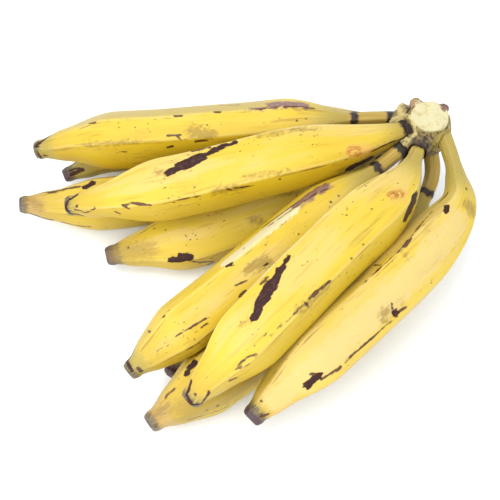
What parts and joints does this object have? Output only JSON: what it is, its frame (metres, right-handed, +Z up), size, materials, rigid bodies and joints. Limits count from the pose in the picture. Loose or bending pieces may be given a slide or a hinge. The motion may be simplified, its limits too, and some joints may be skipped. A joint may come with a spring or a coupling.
{
  "type": "plantain hand",
  "caption": "Hand of ripe plantains in two rows, joined at a cut crown, lying on its lower row.",
  "frame": {"origin": "on the table, under the middle of the hand's bounding box", "axes": "+Z up, +X along the length towards the crown, +Y towards the back, where the crown is"},
  "size_m": [0.3061, 0.2543, 0.096],
  "materials": {
    "ripe_peel": "waxy yellow peel with brown marks",
    "cut_crown": "dry fibrous cut stem"
  },
  "bodies": {
    "root": {"crown": "cut_crown", "upper_finger_1": "ripe_peel", "upper_finger_2": "ripe_peel", "upper_finger_3": "ripe_peel", "upper_finger_4": "ripe_peel", "upper_finger_5": "ripe_peel", "lower_finger_1": "ripe_peel", "lower_finger_2": "ripe_peel", "lower_finger_3": "ripe_peel", "lower_finger_4": "ripe_peel", "lower_finger_5": "ripe_peel"}
  },
  "joints": []
}
